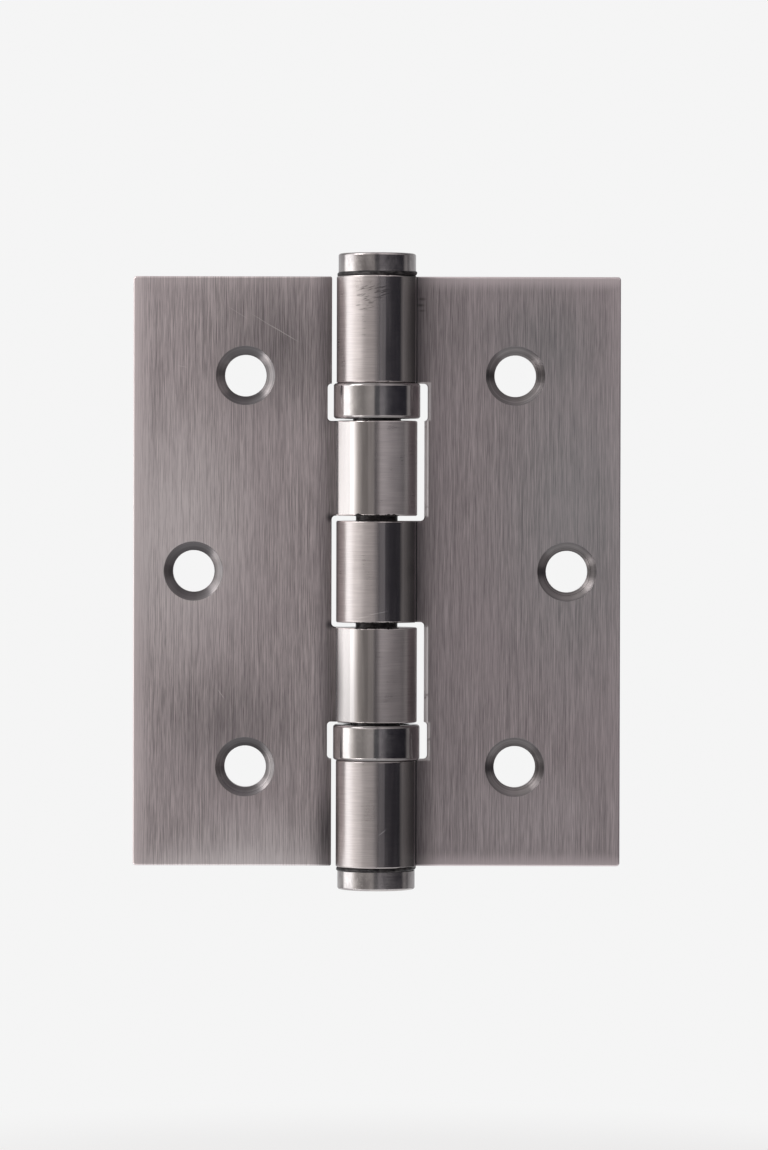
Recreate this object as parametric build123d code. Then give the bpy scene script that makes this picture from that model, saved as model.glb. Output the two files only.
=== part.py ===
from build123d import *
import os
from math import atan2, cos, degrees, radians, sin, sqrt, tan

# Ball bearing butt hinge, opened flat. Millimetres.
# Z runs up the hinge pin, and the origin is half-way up it. The frame leaf lies on +X, the door leaf
# on -X, and both countersunk faces look towards -Y.

# Leaves
leaf_height = 76.2
leaf_reach = 31.5  # pin axis to the outer edge of a leaf
leaf_thickness = 2.5
closed_gap = 2.0  # between the countersunk faces when the hinge is shut
swage_radius = 2.5  # of the reverse bend that sets the leaf back, along the middle of the sheet
edge_radius = 0.2  # broken edges of the blank
blank_corner_radius = 0.4
notch_corner_radius = 0.5

# Barrel
pin_diameter = 5.4
pin_clearance = 0.03  # radial, between the pin and the knuckles
end_knuckle_length = 13.8
middle_knuckle_length = 13.1
knuckle_gap = 0.65  # between the middle knuckle and the door leaf's knuckles
tip_gap = 0.15  # between the end of the curl and the face of its own leaf
tip_set_in = 0.18  # how far the end of the curl stays inside the round
tip_tightening = 1.0  # how much smaller the radius is just before the straight end of the curl
tip_bend_start = 12.0  # degrees from the front of the barrel
tip_bend_end = 49.0
tip_corner_radius = 0.45

# Notches that let one leaf's barrel turn in the other leaf, from barrel to notch edge
frame_knuckle_clearance = 0.92
door_knuckle_clearance = 0.62
frame_shell_clearance = 0.96
door_shell_clearance = 0.8
notch_bevel = 0.35  # sheared front edge of the frame leaf's notches

# Screw holes
hole_diameter = 5.4
countersink_diameter = 7.7
countersink_angle = 90.0
hole_pitch = 25.3  # along the leaf
frame_outer_hole_reach = 17.9  # pin axis to the top and bottom holes
frame_middle_hole_reach = 24.6
door_outer_hole_reach = 17.0
door_middle_hole_reach = 23.7

# Caps
cap_diameter = 10.0
cap_height = 2.5
cap_edge_radius = 0.3
cap_crown = 0.12
spigot_length = 6.0
spigot_clearance = 0.02
spigot_chamfer = 0.4
washer_diameter = 10.3
washer_thickness = 0.5
washer_edge_radius = 0.15
washer_clearance = 0.1  # radial, to the cap's spigot
pin_end_clearance = 0.5  # pin to the end of the spigot
pin_chamfer = 0.4

# Thrust bearings
shell_wall = 0.55
shell_end_thickness = 0.5
shell_edge_radius = 0.4
lip_reach = 0.75  # how far the crimped lip turns in past the wall
lip_thickness = 0.4
lip_clearance = 0.15
race_thickness = 1.2
race_land = 0.28  # beside the balls, on either side
race_clearance = 0.1  # radial, to the pin and to the shell
neck_diameter = 6.2
bearing_slit = 0.27  # between the shell and the door leaf's knuckle
ball_diameter = 1.588
ball_clearance = 0.02
groove_depth = 0.25
ball_count = 12
cage_thickness = 0.5
cage_margin = 0.15  # radial, to the pin and to the shell
cage_pocket_clearance = 0.05

# Sheet and curl
half_height = leaf_height / 2
front_y = closed_gap / 2
back_y = front_y + leaf_thickness
bore_radius = pin_diameter / 2 + pin_clearance
knuckle_radius = bore_radius + leaf_thickness
sheet_middle_y = (front_y + back_y) / 2
curl_middle_radius = (bore_radius + knuckle_radius) / 2
swage_y = sheet_middle_y + swage_radius
swage_x = sqrt((curl_middle_radius + swage_radius) ** 2 - swage_y**2)
swage_angle = degrees(atan2(swage_y, swage_x))  # where the reverse bend runs into the curl
tip_x = knuckle_radius - tip_set_in
tip_y = front_y - tip_gap

# Bearing, measured from its end knuckle towards the door leaf's knuckle
pin_side_radius = pin_diameter / 2 + race_clearance
race_radius = pin_side_radius + ball_diameter + 2 * race_land
shell_bore_radius = race_radius + race_clearance
shell_radius = shell_bore_radius + shell_wall
ball_radius = ball_diameter / 2
groove_radius = ball_radius + ball_clearance
race_gap = 2 * (groove_radius - groove_depth)
pitch_radius = (pin_side_radius + race_radius) / 2
fixed_race_start = shell_end_thickness
ball_level = fixed_race_start + race_thickness + race_gap / 2
moving_race_start = ball_level + race_gap / 2
lip_start = moving_race_start + race_thickness + lip_clearance
shell_height = lip_start + lip_thickness
bearing_height = shell_height + bearing_slit

# Caps and pin, with heights along the pin for the upper half
cap_radius = cap_diameter / 2
spigot_radius = bore_radius - spigot_clearance
bearing_top = half_height - end_knuckle_length
door_knuckle_top = bearing_top - bearing_height
middle_knuckle_top = middle_knuckle_length / 2
door_knuckle_bottom = middle_knuckle_top + knuckle_gap
washer_top = half_height + washer_thickness
spigot_end = half_height - spigot_length
pin_length = 2 * (spigot_end - pin_end_clearance)


def polar(radius, angle):
    """Point at an angle in degrees about the pin, on the XY plane."""
    return (radius * cos(radians(angle)), radius * sin(radians(angle)))


def knuckle_section():
    """Section of the sheet from the start of the reverse bend to the end of the curl, for a leaf on +X."""
    swage_centre = (swage_x, swage_y)
    swage_sweep = 90 - swage_angle
    front_bend = CenterArc(swage_centre, swage_y - front_y, -90, -swage_sweep)
    tip_inner_angle = degrees(atan2(tip_y, sqrt(bore_radius**2 - tip_y**2)))
    inner_round = CenterArc((0, 0), bore_radius, swage_angle, 360 + tip_inner_angle - swage_angle)
    bend_radius = knuckle_radius - tip_tightening
    bend_centre = polar(tip_tightening, tip_bend_start - 90)
    tip_bend = CenterArc(bend_centre, bend_radius, tip_bend_end - 90, tip_bend_start - tip_bend_end)
    straight_start = tip_bend @ 0
    slope = radians(tip_bend_end)
    straight_length = (tip_x - straight_start.X) / cos(slope)
    tip_corner = (tip_x, straight_start.Y + straight_length * sin(slope))
    tip_faces = Polyline([straight_start, tip_corner, (tip_x, tip_y), inner_round @ 1])
    outer_start = tip_bend_start + 270
    outer_round = CenterArc((0, 0), knuckle_radius, swage_angle, outer_start - swage_angle)
    back_bend = CenterArc(swage_centre, swage_y - back_y, -90, -swage_sweep)
    root = Line((swage_x, front_y), (swage_x, back_y))
    section = make_face([front_bend, inner_round, tip_faces, tip_bend, outer_round, back_bend, root])
    corner = section.vertices().sort_by_distance((*tip_corner, 0))[0]
    return fillet(corner, tip_corner_radius)


def plate_outline(notches):
    """Outline of the flat of a leaf on +X, with its notches cut out."""
    outline = Pos((leaf_reach + swage_x) / 2, 0) * Rectangle(leaf_reach - swage_x, leaf_height)
    outer_corners = outline.vertices().group_by(Axis.X)[-1]
    outline = fillet(outer_corners, blank_corner_radius)
    for edge, low, high in notches:
        notch = Pos(edge / 2, (low + high) / 2) * Rectangle(edge, high - low)
        outline -= fillet(notch.vertices().group_by(Axis.X)[-1], notch_corner_radius)
    return outline


def break_edges(body, levels):
    """Round the edges that lie at the given heights, with the outline that runs on from them."""
    on_level = []
    for edge in body.edges():
        box = edge.bounding_box()
        if any(abs(box.min.Z - level) + abs(box.max.Z - level) < 1e-4 for level in levels):
            on_level.append(edge)
    return fillet(on_level, edge_radius)


def screw_hole(reach, height):
    """Cutter for one countersunk hole, whose wide end is on the front face."""
    hole_radius = hole_diameter / 2
    sink_radius = countersink_diameter / 2
    sink_depth = (sink_radius - hole_radius) / tan(radians(countersink_angle / 2))
    base = (Align.CENTER, Align.CENTER, Align.MIN)
    cutter = Cylinder(hole_radius, leaf_thickness, align=base) + Cone(
        sink_radius, hole_radius, sink_depth, align=base
    )
    return Pos(reach, front_y, height) * Rot(-90, 0, 0) * cutter


def leaf(knuckles, notches, outer_hole_reach, middle_hole_reach):
    """One leaf on +X: flat, knuckles and countersunk holes, all of one bent sheet."""
    body = Pos(0, back_y, 0) * extrude(Plane.XZ * plate_outline(notches), leaf_thickness)
    section = knuckle_section()
    levels = [-half_height, half_height]
    for low, high in knuckles:
        body += Pos(0, 0, low) * extrude(section, high - low)
        levels += [low, high]
    body = break_edges(body, levels)
    for height in (-hole_pitch, hole_pitch):
        body -= screw_hole(outer_hole_reach, height)
    return body - screw_hole(middle_hole_reach, 0)


def bevel_notch(body, edge, low, high):
    """Take the front corner off one straight notch edge of a leaf on +X."""
    outline = Polyline(
        [(edge, front_y), (edge + notch_bevel, front_y), (edge, front_y + notch_bevel)], close=True
    )
    return body - Pos(0, 0, low) * extrude(make_face(outline), high - low)


def mirrored_below(notches):
    """The given notches, and the same ones mirrored below the middle of the hinge."""
    return notches + [(edge, -high, -low) for edge, low, high in notches]


def make_frame_leaf():
    """Leaf that is fixed to the door frame, with the top, middle and bottom knuckles."""
    edge = knuckle_radius + frame_knuckle_clearance
    bearing_edge = shell_radius + frame_shell_clearance
    notches = [(edge, middle_knuckle_top, bearing_top), (bearing_edge, door_knuckle_top, bearing_top)]
    knuckles = [
        (bearing_top, half_height),
        (-middle_knuckle_top, middle_knuckle_top),
        (-half_height, -bearing_top),
    ]
    body = leaf(knuckles, mirrored_below(notches), frame_outer_hole_reach, frame_middle_hole_reach)
    low = middle_knuckle_top + notch_corner_radius
    body = bevel_notch(body, edge, low, door_knuckle_top)
    return bevel_notch(body, edge, -door_knuckle_top, -low)


def make_door_leaf():
    """Leaf that is fixed to the door, with the two knuckles that the bearings carry."""
    edge = knuckle_radius + door_knuckle_clearance
    bearing_edge = shell_radius + door_shell_clearance
    middle_notch = (edge, -door_knuckle_bottom, door_knuckle_bottom)
    end_notch = (edge, bearing_top - notch_corner_radius, half_height + notch_corner_radius)
    notches = mirrored_below([end_notch, (bearing_edge, door_knuckle_top, bearing_top)])
    knuckles = [
        (door_knuckle_bottom, door_knuckle_top),
        (-door_knuckle_top, -door_knuckle_bottom),
    ]
    body = leaf(knuckles, notches + [middle_notch], door_outer_hole_reach, door_middle_hole_reach)
    return body.mirror(Plane.YZ)


def make_pin():
    """Plain hinge pin, which ends just short of the spigots of the caps."""
    pin = Cylinder(pin_diameter / 2, pin_length)
    return chamfer(pin.edges().filter_by(GeomType.CIRCLE), pin_chamfer)


def turned(outline):
    """Solid of revolution about the pin, from a face drawn with its radius along X and height along Y."""
    return revolve(Plane.XZ * outline, Axis.Z)


def ring(inner, outer, low, high):
    """Face of a plain ring between two radii and two heights."""
    return Pos((inner + outer) / 2, (low + high) / 2) * Rectangle(outer - inner, high - low)


def make_cap():
    """Turned button for the top of the barrel, with the spigot that sits in the end knuckle."""
    rim_height = washer_top + cap_height - cap_crown
    crown_radius = (cap_radius**2 + cap_crown**2) / (2 * cap_crown)
    sides = Polyline([
        (0, rim_height + cap_crown),
        (0, spigot_end),
        (spigot_radius - spigot_chamfer, spigot_end),
        (spigot_radius, spigot_end + spigot_chamfer),
        (spigot_radius, washer_top),
        (cap_radius, washer_top),
        (cap_radius, rim_height),
    ])
    crown = RadiusArc((cap_radius, rim_height), (0, rim_height + cap_crown), -crown_radius)
    outline = make_face([sides, crown])
    rim = outline.vertices().sort_by_distance((cap_radius, rim_height, 0))[0]
    return turned(fillet(rim, cap_edge_radius))


def make_cap_washer():
    """Thin disc between the top knuckle and its cap."""
    outline = ring(spigot_radius + washer_clearance, washer_diameter / 2, half_height, washer_top)
    return turned(fillet(outline.vertices().group_by(Axis.X)[-1], washer_edge_radius))


def bearing_ring(inner, outer, start, end):
    """Face of a ring of the upper bearing, with its heights measured down from the end knuckle."""
    return ring(inner, outer, bearing_top - end, bearing_top - start)


def ball_groove():
    """Round groove that the balls run in, as a face to cut from a race."""
    return Pos(pitch_radius, bearing_top - ball_level) * Circle(groove_radius)


def make_bearing_shell():
    """Polished cup round the upper bearing, with its lip crimped in under the moving race."""
    outline = bearing_ring(pin_side_radius, shell_radius, 0, shell_height)
    outline -= bearing_ring(pin_side_radius, shell_bore_radius, shell_end_thickness, lip_start)
    outline -= bearing_ring(pin_side_radius, shell_bore_radius - lip_reach, lip_start, shell_height)
    return turned(fillet(outline.vertices().group_by(Axis.X)[-1], shell_edge_radius))


def make_fixed_race():
    """Race against the closed end of the upper shell."""
    end = fixed_race_start + race_thickness
    return turned(bearing_ring(pin_side_radius, race_radius, fixed_race_start, end) - ball_groove())


def make_moving_race():
    """Race whose neck stands on the door leaf's upper knuckle."""
    end = moving_race_start + race_thickness
    outline = bearing_ring(pin_side_radius, race_radius, moving_race_start, end)
    outline += bearing_ring(pin_side_radius, neck_diameter / 2, moving_race_start, bearing_height)
    return turned(outline - ball_groove())


def ball_places():
    """Positions of the balls of the upper bearing, evenly spaced round the pin."""
    for turn in range(ball_count):
        x, y = polar(pitch_radius, 360 * turn / ball_count)
        yield Pos(x, y, bearing_top - ball_level)


def make_ball_cage():
    """Flat ring that keeps the balls of the upper bearing apart."""
    half = cage_thickness / 2
    inner = pin_diameter / 2 + cage_margin
    outer = shell_bore_radius - cage_margin
    cage = turned(bearing_ring(inner, outer, ball_level - half, ball_level + half))
    for place in ball_places():
        cage -= place * Cylinder(ball_radius + cage_pocket_clearance, 2 * cage_thickness)
    return cage


pieces = {
    "frame_leaf": make_frame_leaf(),
    "door_leaf": make_door_leaf(),
    "hinge_pin": make_pin(),
}
upper_pieces = {
    "top_cap": make_cap(),
    "top_cap_washer": make_cap_washer(),
    "upper_bearing_shell": make_bearing_shell(),
    "upper_fixed_race": make_fixed_race(),
    "upper_moving_race": make_moving_race(),
    "upper_ball_cage": make_ball_cage(),
}
for number, place in enumerate(ball_places(), start=1):
    upper_pieces[f"upper_ball_{number:02d}"] = place * Sphere(ball_radius)
for name, piece in upper_pieces.items():
    pieces[name] = piece
    lower_name = name.replace("upper", "lower").replace("top", "bottom")
    pieces[lower_name] = piece.mirror(Plane.XY)

os.makedirs("parts", exist_ok=True)
for name, piece in pieces.items():
    piece.label = name
    export_step(piece, f"parts/{name}.step")
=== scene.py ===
import logging
import math
from dataclasses import dataclass, replace
from enum import Enum
from typing import Any

import bmesh
import bpy
from mathutils import Matrix, Vector, noise


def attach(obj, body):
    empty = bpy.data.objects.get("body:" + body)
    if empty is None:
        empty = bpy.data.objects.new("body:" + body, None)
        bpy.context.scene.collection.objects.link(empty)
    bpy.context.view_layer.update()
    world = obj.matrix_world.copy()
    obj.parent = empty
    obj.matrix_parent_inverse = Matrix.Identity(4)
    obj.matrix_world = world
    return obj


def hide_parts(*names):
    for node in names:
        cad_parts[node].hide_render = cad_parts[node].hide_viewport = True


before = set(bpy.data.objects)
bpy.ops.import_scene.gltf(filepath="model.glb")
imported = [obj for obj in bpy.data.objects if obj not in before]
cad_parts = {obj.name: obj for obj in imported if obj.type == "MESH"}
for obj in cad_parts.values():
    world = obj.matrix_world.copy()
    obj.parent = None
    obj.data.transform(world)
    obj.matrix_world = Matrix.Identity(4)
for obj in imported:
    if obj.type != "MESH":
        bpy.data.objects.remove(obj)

LOG = logging.getLogger("ball_bearing_hinge")
MM = 0.001
MM_PER_METRE = 1000.0
# The value about which a noise swings.
NOISE_MIDDLE = 0.5
# The turn that draws highlights out round the pin, as a share of a full turn.
QUARTER_TURN = 0.25
# Corners that lie nearer than this, in metres, are joined.
WELD_DISTANCE = 1e-7
# Edges with a larger angle than this, in degrees, stay sharp.
SHARP_ANGLE = 40.0
# The places along Y, in millimetres, between which the barrel's back turns into its front.
BARREL_FRONT = (0.6, -0.4)
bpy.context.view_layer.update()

Socket = bpy.types.NodeSocket
Colour = tuple[float, float, float]
Place = tuple[float, float, float]
Spot = tuple[float, float]
Span = tuple[float, float]
Tone = tuple[float, Colour]


class Side(Enum):
    """The side of the pin on which a leaf lies, as a sign along X."""

    FRAME = 1.0
    DOOR = -1.0


class Signal:
    """A shader value that takes part in arithmetic, adding Math nodes as it goes."""

    def __init__(self, graph: "Graph", socket: Socket) -> None:
        """Wrap a socket.

        Args:
            graph: The node tree the socket belongs to.
            socket: The output that gives the value.
        """
        self.graph = graph
        self.socket = socket

    def math(self, operation: str, *others: "Signal | float", first: bool = True) -> "Signal":
        """Join this value to others with one Math node.

        Args:
            operation: The Math node's operation.
            others: The other operands.
            first: Whether this value is the first operand.

        Returns:
            The result.
        """
        operands = [self, *others] if first else [*others, self]
        node = self.graph.node("ShaderNodeMath", {"operation": operation}, dict(enumerate(operands)))
        return Signal(self.graph, node.outputs[0])

    def __add__(self, other: "Signal | float") -> "Signal":
        """Add."""
        return self.math("ADD", other)

    def __radd__(self, other: float) -> "Signal":
        """Add, reflected."""
        return self.math("ADD", other, first=False)

    def __sub__(self, other: "Signal | float") -> "Signal":
        """Subtract."""
        return self.math("SUBTRACT", other)

    def __rsub__(self, other: float) -> "Signal":
        """Subtract, reflected."""
        return self.math("SUBTRACT", other, first=False)

    def __mul__(self, other: "Signal | float") -> "Signal":
        """Multiply."""
        return self.math("MULTIPLY", other)

    def __rmul__(self, other: float) -> "Signal":
        """Multiply, reflected."""
        return self.math("MULTIPLY", other, first=False)

    def __truediv__(self, other: "Signal | float") -> "Signal":
        """Divide."""
        return self.math("DIVIDE", other)

    def __rtruediv__(self, other: float) -> "Signal":
        """Divide, reflected."""
        return self.math("DIVIDE", other, first=False)

    def __pow__(self, other: "Signal | float") -> "Signal":
        """Raise to a power."""
        return self.math("POWER", other)

    def __neg__(self) -> "Signal":
        """Change the sign."""
        return self.math("MULTIPLY", -1.0)

    def __abs__(self) -> "Signal":
        """Drop the sign."""
        return self.math("ABSOLUTE")

    def step(self, low: float, high: float) -> "Signal":
        """Rise smoothly from 0 at low to 1 at high, or fall where low is the larger.

        Args:
            low: The value that gives 0.
            high: The value that gives 1.

        Returns:
            A mask from 0 to 1.
        """
        limits = (low, high, 0.0, 1.0) if low < high else (high, low, 1.0, 0.0)
        sockets = {"Value": self, **dict(zip(("From Min", "From Max", "To Min", "To Max"), limits))}
        node = self.graph.node("ShaderNodeMapRange", {"interpolation_type": "SMOOTHSTEP"}, sockets)
        return Signal(self.graph, node.outputs["Result"])

    def edge(self, place: float, margins: Span) -> "Signal":
        """Change smoothly from 0 at a place's first margin to 1 at its second."""
        return self.step(place + margins[0], place + margins[1])

    def between(self, rise: Span, fall: Span) -> "Signal":
        """Mask a stretch of the value.

        Args:
            rise: The values over which the mask grows from 0 to 1.
            fall: The values over which it drops back to 0.

        Returns:
            A mask from 0 to 1.
        """
        return self.step(*rise) * self.step(fall[1], fall[0])


@dataclass(frozen=True)
class Pattern:
    """A noise pattern on an object, and what it does to the finish that holds it.

    scale: Cycles per millimetre along each axis.
    detail: How many octaves it has.
    rough: How strong the finer octaves are.
    span: The noise values that give 0 and 1 in its mask.
    swing: How strongly it changes the roughness.
    middle: The noise value that leaves the roughness alone.
    depth: What its full height stands for in the surface, in millimetres.
    turn: The turn of the pattern, in radians.
    shift: The shift of the pattern, in its own units.
    """

    scale: Place
    detail: float
    rough: float
    span: Span = (0.3, 0.7)
    swing: float = 0.0
    middle: float = NOISE_MIDDLE
    depth: float = 0.0
    turn: Place = (0.0, 0.0, 0.0)
    shift: Place = (0.0, 0.0, 0.0)

    def mask(self, value: Signal) -> Signal:
        """Spread the noise from 0 to 1."""
        return value.step(*self.span)

    def uneven(self, value: Signal) -> Signal:
        """Give what the noise adds to the roughness."""
        return self.swing * (value - self.middle)


FINE_STROKES = Pattern((11.0, 0.2, 0.075), 2.0, 0.8, (0.62, 0.78), turn=(0.0, 0.002, 0.0))
HAIR_STROKES = Pattern((19.0, 0.2, 0.28), 2.0, 0.75, turn=(0.0, -0.004, 0.0), shift=(0.0, 3.0, 0.0))
BROAD_STROKES = Pattern((2.0, 0.1, 0.016), 3.0, 0.6, shift=(0.0, 5.0, 0.0))
SHEET_CLOUDS = Pattern((0.08, 0.1, 0.05), 3.0, 0.55, (0.35, 0.7), swing=0.1, shift=(0.0, 9.0, 2.0))
SHEAR_MARKS = Pattern((1.2, 1.2, 5.0), 3.0, 0.6)
BURR_GAPS = Pattern((0.5, 0.5, 0.7), 3.0, 0.7, (0.2, 0.45))
RUBS = Pattern((0.55, 0.2, 4.5), 2.0, 0.6, (0.52, 0.60))
TIP_SMEAR = Pattern((0.9, 0.9, 0.05), 3.0, 0.6, swing=0.1, middle=0.4)
TIP_GRAIN = Pattern((0.5, 0.5, 5.0), 2.0, 0.6, swing=0.04, middle=0.0, depth=0.002)
CURL_STROKES = Pattern((0.3, 0.3, 8.0), 3.0, 0.6, (0.25, 0.75), swing=0.09, depth=0.0012)
CURL_CLOUDS = Pattern((0.5, 0.5, 0.25), 2.0, 0.5, swing=0.1)
TOOL_RINGS = Pattern((0.15, 0.15, 7.0), 2.0, 0.6, swing=0.06)
TURNED_SMEAR = Pattern((0.7, 0.7, 0.5), 3.0, 0.6, (0.35, 0.65), swing=0.1, middle=0.45)
GREASE = Pattern((1.5, 1.5, 2.5), 4.0, 0.6, (0.35, 0.7), swing=0.3, depth=0.02)
OIL_FILM = Pattern((1.8, 1.8, 1.8), 3.0, 0.6, (0.35, 0.65), swing=0.15, middle=0.4, depth=0.002)


class Graph:
    """A node tree that is written as expressions."""

    def __init__(self, tree: bpy.types.NodeTree) -> None:
        """Take an empty or cleared tree.

        Args:
            tree: The node tree to fill.
        """
        self.tree = tree
        tree.nodes.clear()

    def node(
        self,
        kind: str,
        settings: dict[str, Any] | None = None,
        sockets: dict[str | int, Any] | None = None,
    ) -> bpy.types.Node:
        """Add one node.

        Args:
            kind: The node's type.
            settings: What is set before the sockets; "stops" fills a colour ramp.
            sockets: Values or links, by input name or number.

        Returns:
            The node.
        """
        node = self.tree.nodes.new(kind)
        for name, value in (settings or {}).items():
            if name == "stops":
                self._fill_ramp(node.color_ramp, value)
            else:
                setattr(node, name, value)
        for name, value in (sockets or {}).items():
            socket = node.inputs[name]
            if isinstance(value, Signal):
                self.tree.links.new(value.socket, socket)
            elif isinstance(value, Socket):
                self.tree.links.new(value, socket)
            elif socket.type == "RGBA" and len(value) == 3:
                socket.default_value = (*value, 1.0)
            else:
                socket.default_value = value
        return node

    @staticmethod
    def _fill_ramp(ramp: bpy.types.ColorRamp, stops: list[Tone]) -> None:
        """Set a ramp's stops.

        Args:
            ramp: The ramp.
            stops: Pairs of place and colour, in order.
        """
        while len(ramp.elements) < len(stops):
            ramp.elements.new(0.5)
        for element, (place, colour) in zip(ramp.elements, stops):
            element.position = place
            element.color = (*colour, 1.0)

    def place(
        self,
        scale: Place = (1.0, 1.0, 1.0),
        turn: Place = (0.0, 0.0, 0.0),
        shift: Place = (0.0, 0.0, 0.0),
    ) -> Socket:
        """Give the place on the object in millimetres, turned and scaled for a pattern.

        Args:
            scale: Cycles of the pattern per millimetre along each axis.
            turn: Turn of the pattern, in radians.
            shift: Shift of the pattern, in its own units.

        Returns:
            The vector socket.
        """
        there = self.node("ShaderNodeTexCoord").outputs["Object"]
        if any(turn):
            there = self.node("ShaderNodeMapping", {}, {"Vector": there, "Rotation": turn}).outputs[0]
        sizes = tuple(MM_PER_METRE * value for value in scale)
        sockets = {"Vector": there, "Scale": sizes, "Location": shift}
        return self.node("ShaderNodeMapping", {}, sockets).outputs[0]

    def axes(self) -> tuple[Signal, Signal, Signal]:
        """Give x, y and z on the object in millimetres.

        Returns:
            Three signals.
        """
        split = self.node("ShaderNodeSeparateXYZ", {}, {0: self.place()})
        return tuple(Signal(self, output) for output in split.outputs)

    def noise(self, vector: Socket, detail: float, rough: float) -> Signal:
        """Read a noise texture.

        Args:
            vector: Where to read it.
            detail: How many octaves it has.
            rough: How strong the finer octaves are.

        Returns:
            A value about 0.5.
        """
        sockets = {"Vector": vector, "Scale": 1.0, "Detail": detail, "Roughness": rough}
        return Signal(self, self.node("ShaderNodeTexNoise", {}, sockets).outputs[0])

    def pattern(self, pattern: Pattern, seed: float = 0.0) -> Signal:
        """Read a noise pattern on the object.

        Args:
            pattern: The pattern.
            seed: A further shift along X, in the pattern's own units.

        Returns:
            A value about 0.5.
        """
        shift = (pattern.shift[0] + seed, *pattern.shift[1:])
        return self.noise(self.place(pattern.scale, pattern.turn, shift), pattern.detail, pattern.rough)

    def blend(self, factor: Signal | float, low: Any, high: Any) -> Socket:
        """Mix two colours.

        Args:
            factor: 0 gives low and 1 gives high.
            low: A colour or a colour socket.
            high: A colour or a colour socket.

        Returns:
            The mixed colour.
        """
        settings = {"data_type": "RGBA", "clamp_factor": True}
        return self.node("ShaderNodeMix", settings, {0: factor, 6: low, 7: high}).outputs[2]

    def join(self, factor: Signal, first: Socket, second: Socket) -> Socket:
        """Mix two shaders.

        Args:
            factor: 0 gives the first and 1 gives the second.
            first: A shader.
            second: A shader.

        Returns:
            The mixed shader.
        """
        return self.node("ShaderNodeMixShader", {}, {0: factor, 1: first, 2: second}).outputs[0]

    def bump(self, height: Signal, depth: float, base: Socket | None = None) -> Socket:
        """Turn a height into a normal.

        Args:
            height: The height, from 0 to 1.
            depth: What a height of 1 stands for, in millimetres.
            base: A normal to start from.

        Returns:
            The normal.
        """
        sockets: dict[str | int, Any] = {"Strength": 1.0, "Distance": depth * MM, "Height": height}
        if base is not None:
            sockets["Normal"] = base
        return self.node("ShaderNodeBump", {}, sockets).outputs[0]


def metal(graph: Graph, **sockets: Any) -> Socket:
    """Add a metal surface shader.

    Args:
        graph: The tree it goes into.
        sockets: The shader's inputs, with underscores for spaces.

    Returns:
        The shader's output.
    """
    named = {name.replace("_", " "): value for name, value in sockets.items()}
    return graph.node("ShaderNodeBsdfPrincipled", {}, {"Metallic": 1.0, **named}).outputs[0]


def new_material(name: str) -> tuple[bpy.types.Material, Graph]:
    """Start a node material.

    Args:
        name: The material's name.

    Returns:
        The material and its empty graph.
    """
    material = bpy.data.materials.new(name)
    material.use_nodes = True
    return material, Graph(material.node_tree)


def close_material(graph: Graph, shader: Socket) -> None:
    """Join a shader to the material's output.

    Args:
        graph: The material's graph.
        shader: The finished surface.
    """
    graph.node("ShaderNodeOutputMaterial", {}, {"Surface": shader})


def scaled(tone: Colour, factor: float) -> Colour:
    """Make a colour lighter or darker."""
    return tuple(factor * value for value in tone)


def ellipse(x: Signal, z: Signal, centre: Spot, size: Spot) -> Signal:
    """Give how far a place lies from the middle of an ellipse, squared.

    Args:
        x: Across the hinge.
        z: Along the pin.
        centre: The ellipse's middle.
        size: Its half widths.

    Returns:
        0 at its middle and 1 on its edge.
    """
    off_x, off_z = (x - centre[0]) / size[0], (z - centre[1]) / size[1]
    return off_x * off_x + off_z * off_z


@dataclass(frozen=True)
class Scratch:
    """A fine light line worn into a leaf or a knuckle, in millimetres as x and z.

    taper: The share of its length over which either end thins out.
    core: How far from its middle it keeps its full strength, as a share of the width.
    """

    start: Spot
    end: Spot
    width: float = 0.12
    strength: float = 0.6
    taper: float = 0.3
    core: float = 0.15

    def mask(self, graph: Graph) -> Signal:
        """Show the line as it is seen from the front.

        Args:
            graph: The material's graph.

        Returns:
            A mask that thins out towards the line's ends.
        """
        along = Vector((self.end[0] - self.start[0], self.end[1] - self.start[1]))
        length = along.length
        along.normalize()
        x, _, z = graph.axes()
        x, z = x - self.start[0], z - self.start[1]
        run = x * along.x + z * along.y
        off = abs(z * along.x - x * along.y)
        ends = run.step(0.0, self.taper * length) * run.step(length, (1.0 - self.taper) * length)
        return off.step(0.5 * self.width, self.core * self.width) * ends * self.strength


@dataclass(frozen=True)
class Scuff:
    """A patch of short dark rubs on the barrel, in millimetres as x and z.

    slope: How far the rubs are turned, in degrees.
    seed: Where their noise is read.
    core: How much of the patch keeps its full strength.
    """

    centre: Spot
    size: Spot
    slope: float = 18.0
    seed: float = 0.0
    strength: float = 0.75
    core: float = 0.3

    def mask(self, graph: Graph, x: Signal, z: Signal) -> Signal:
        """Show the rubs.

        Args:
            graph: The material's graph.
            x: Across the hinge.
            z: Along the pin.

        Returns:
            A mask.
        """
        turn = (0.0, math.radians(self.slope), 0.0)
        rubs = graph.pattern(replace(RUBS, turn=turn, shift=(self.seed, 0.0, self.seed)))
        return ellipse(x, z, self.centre, self.size).step(1.0, self.core) * RUBS.mask(rubs) * self.strength


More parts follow.
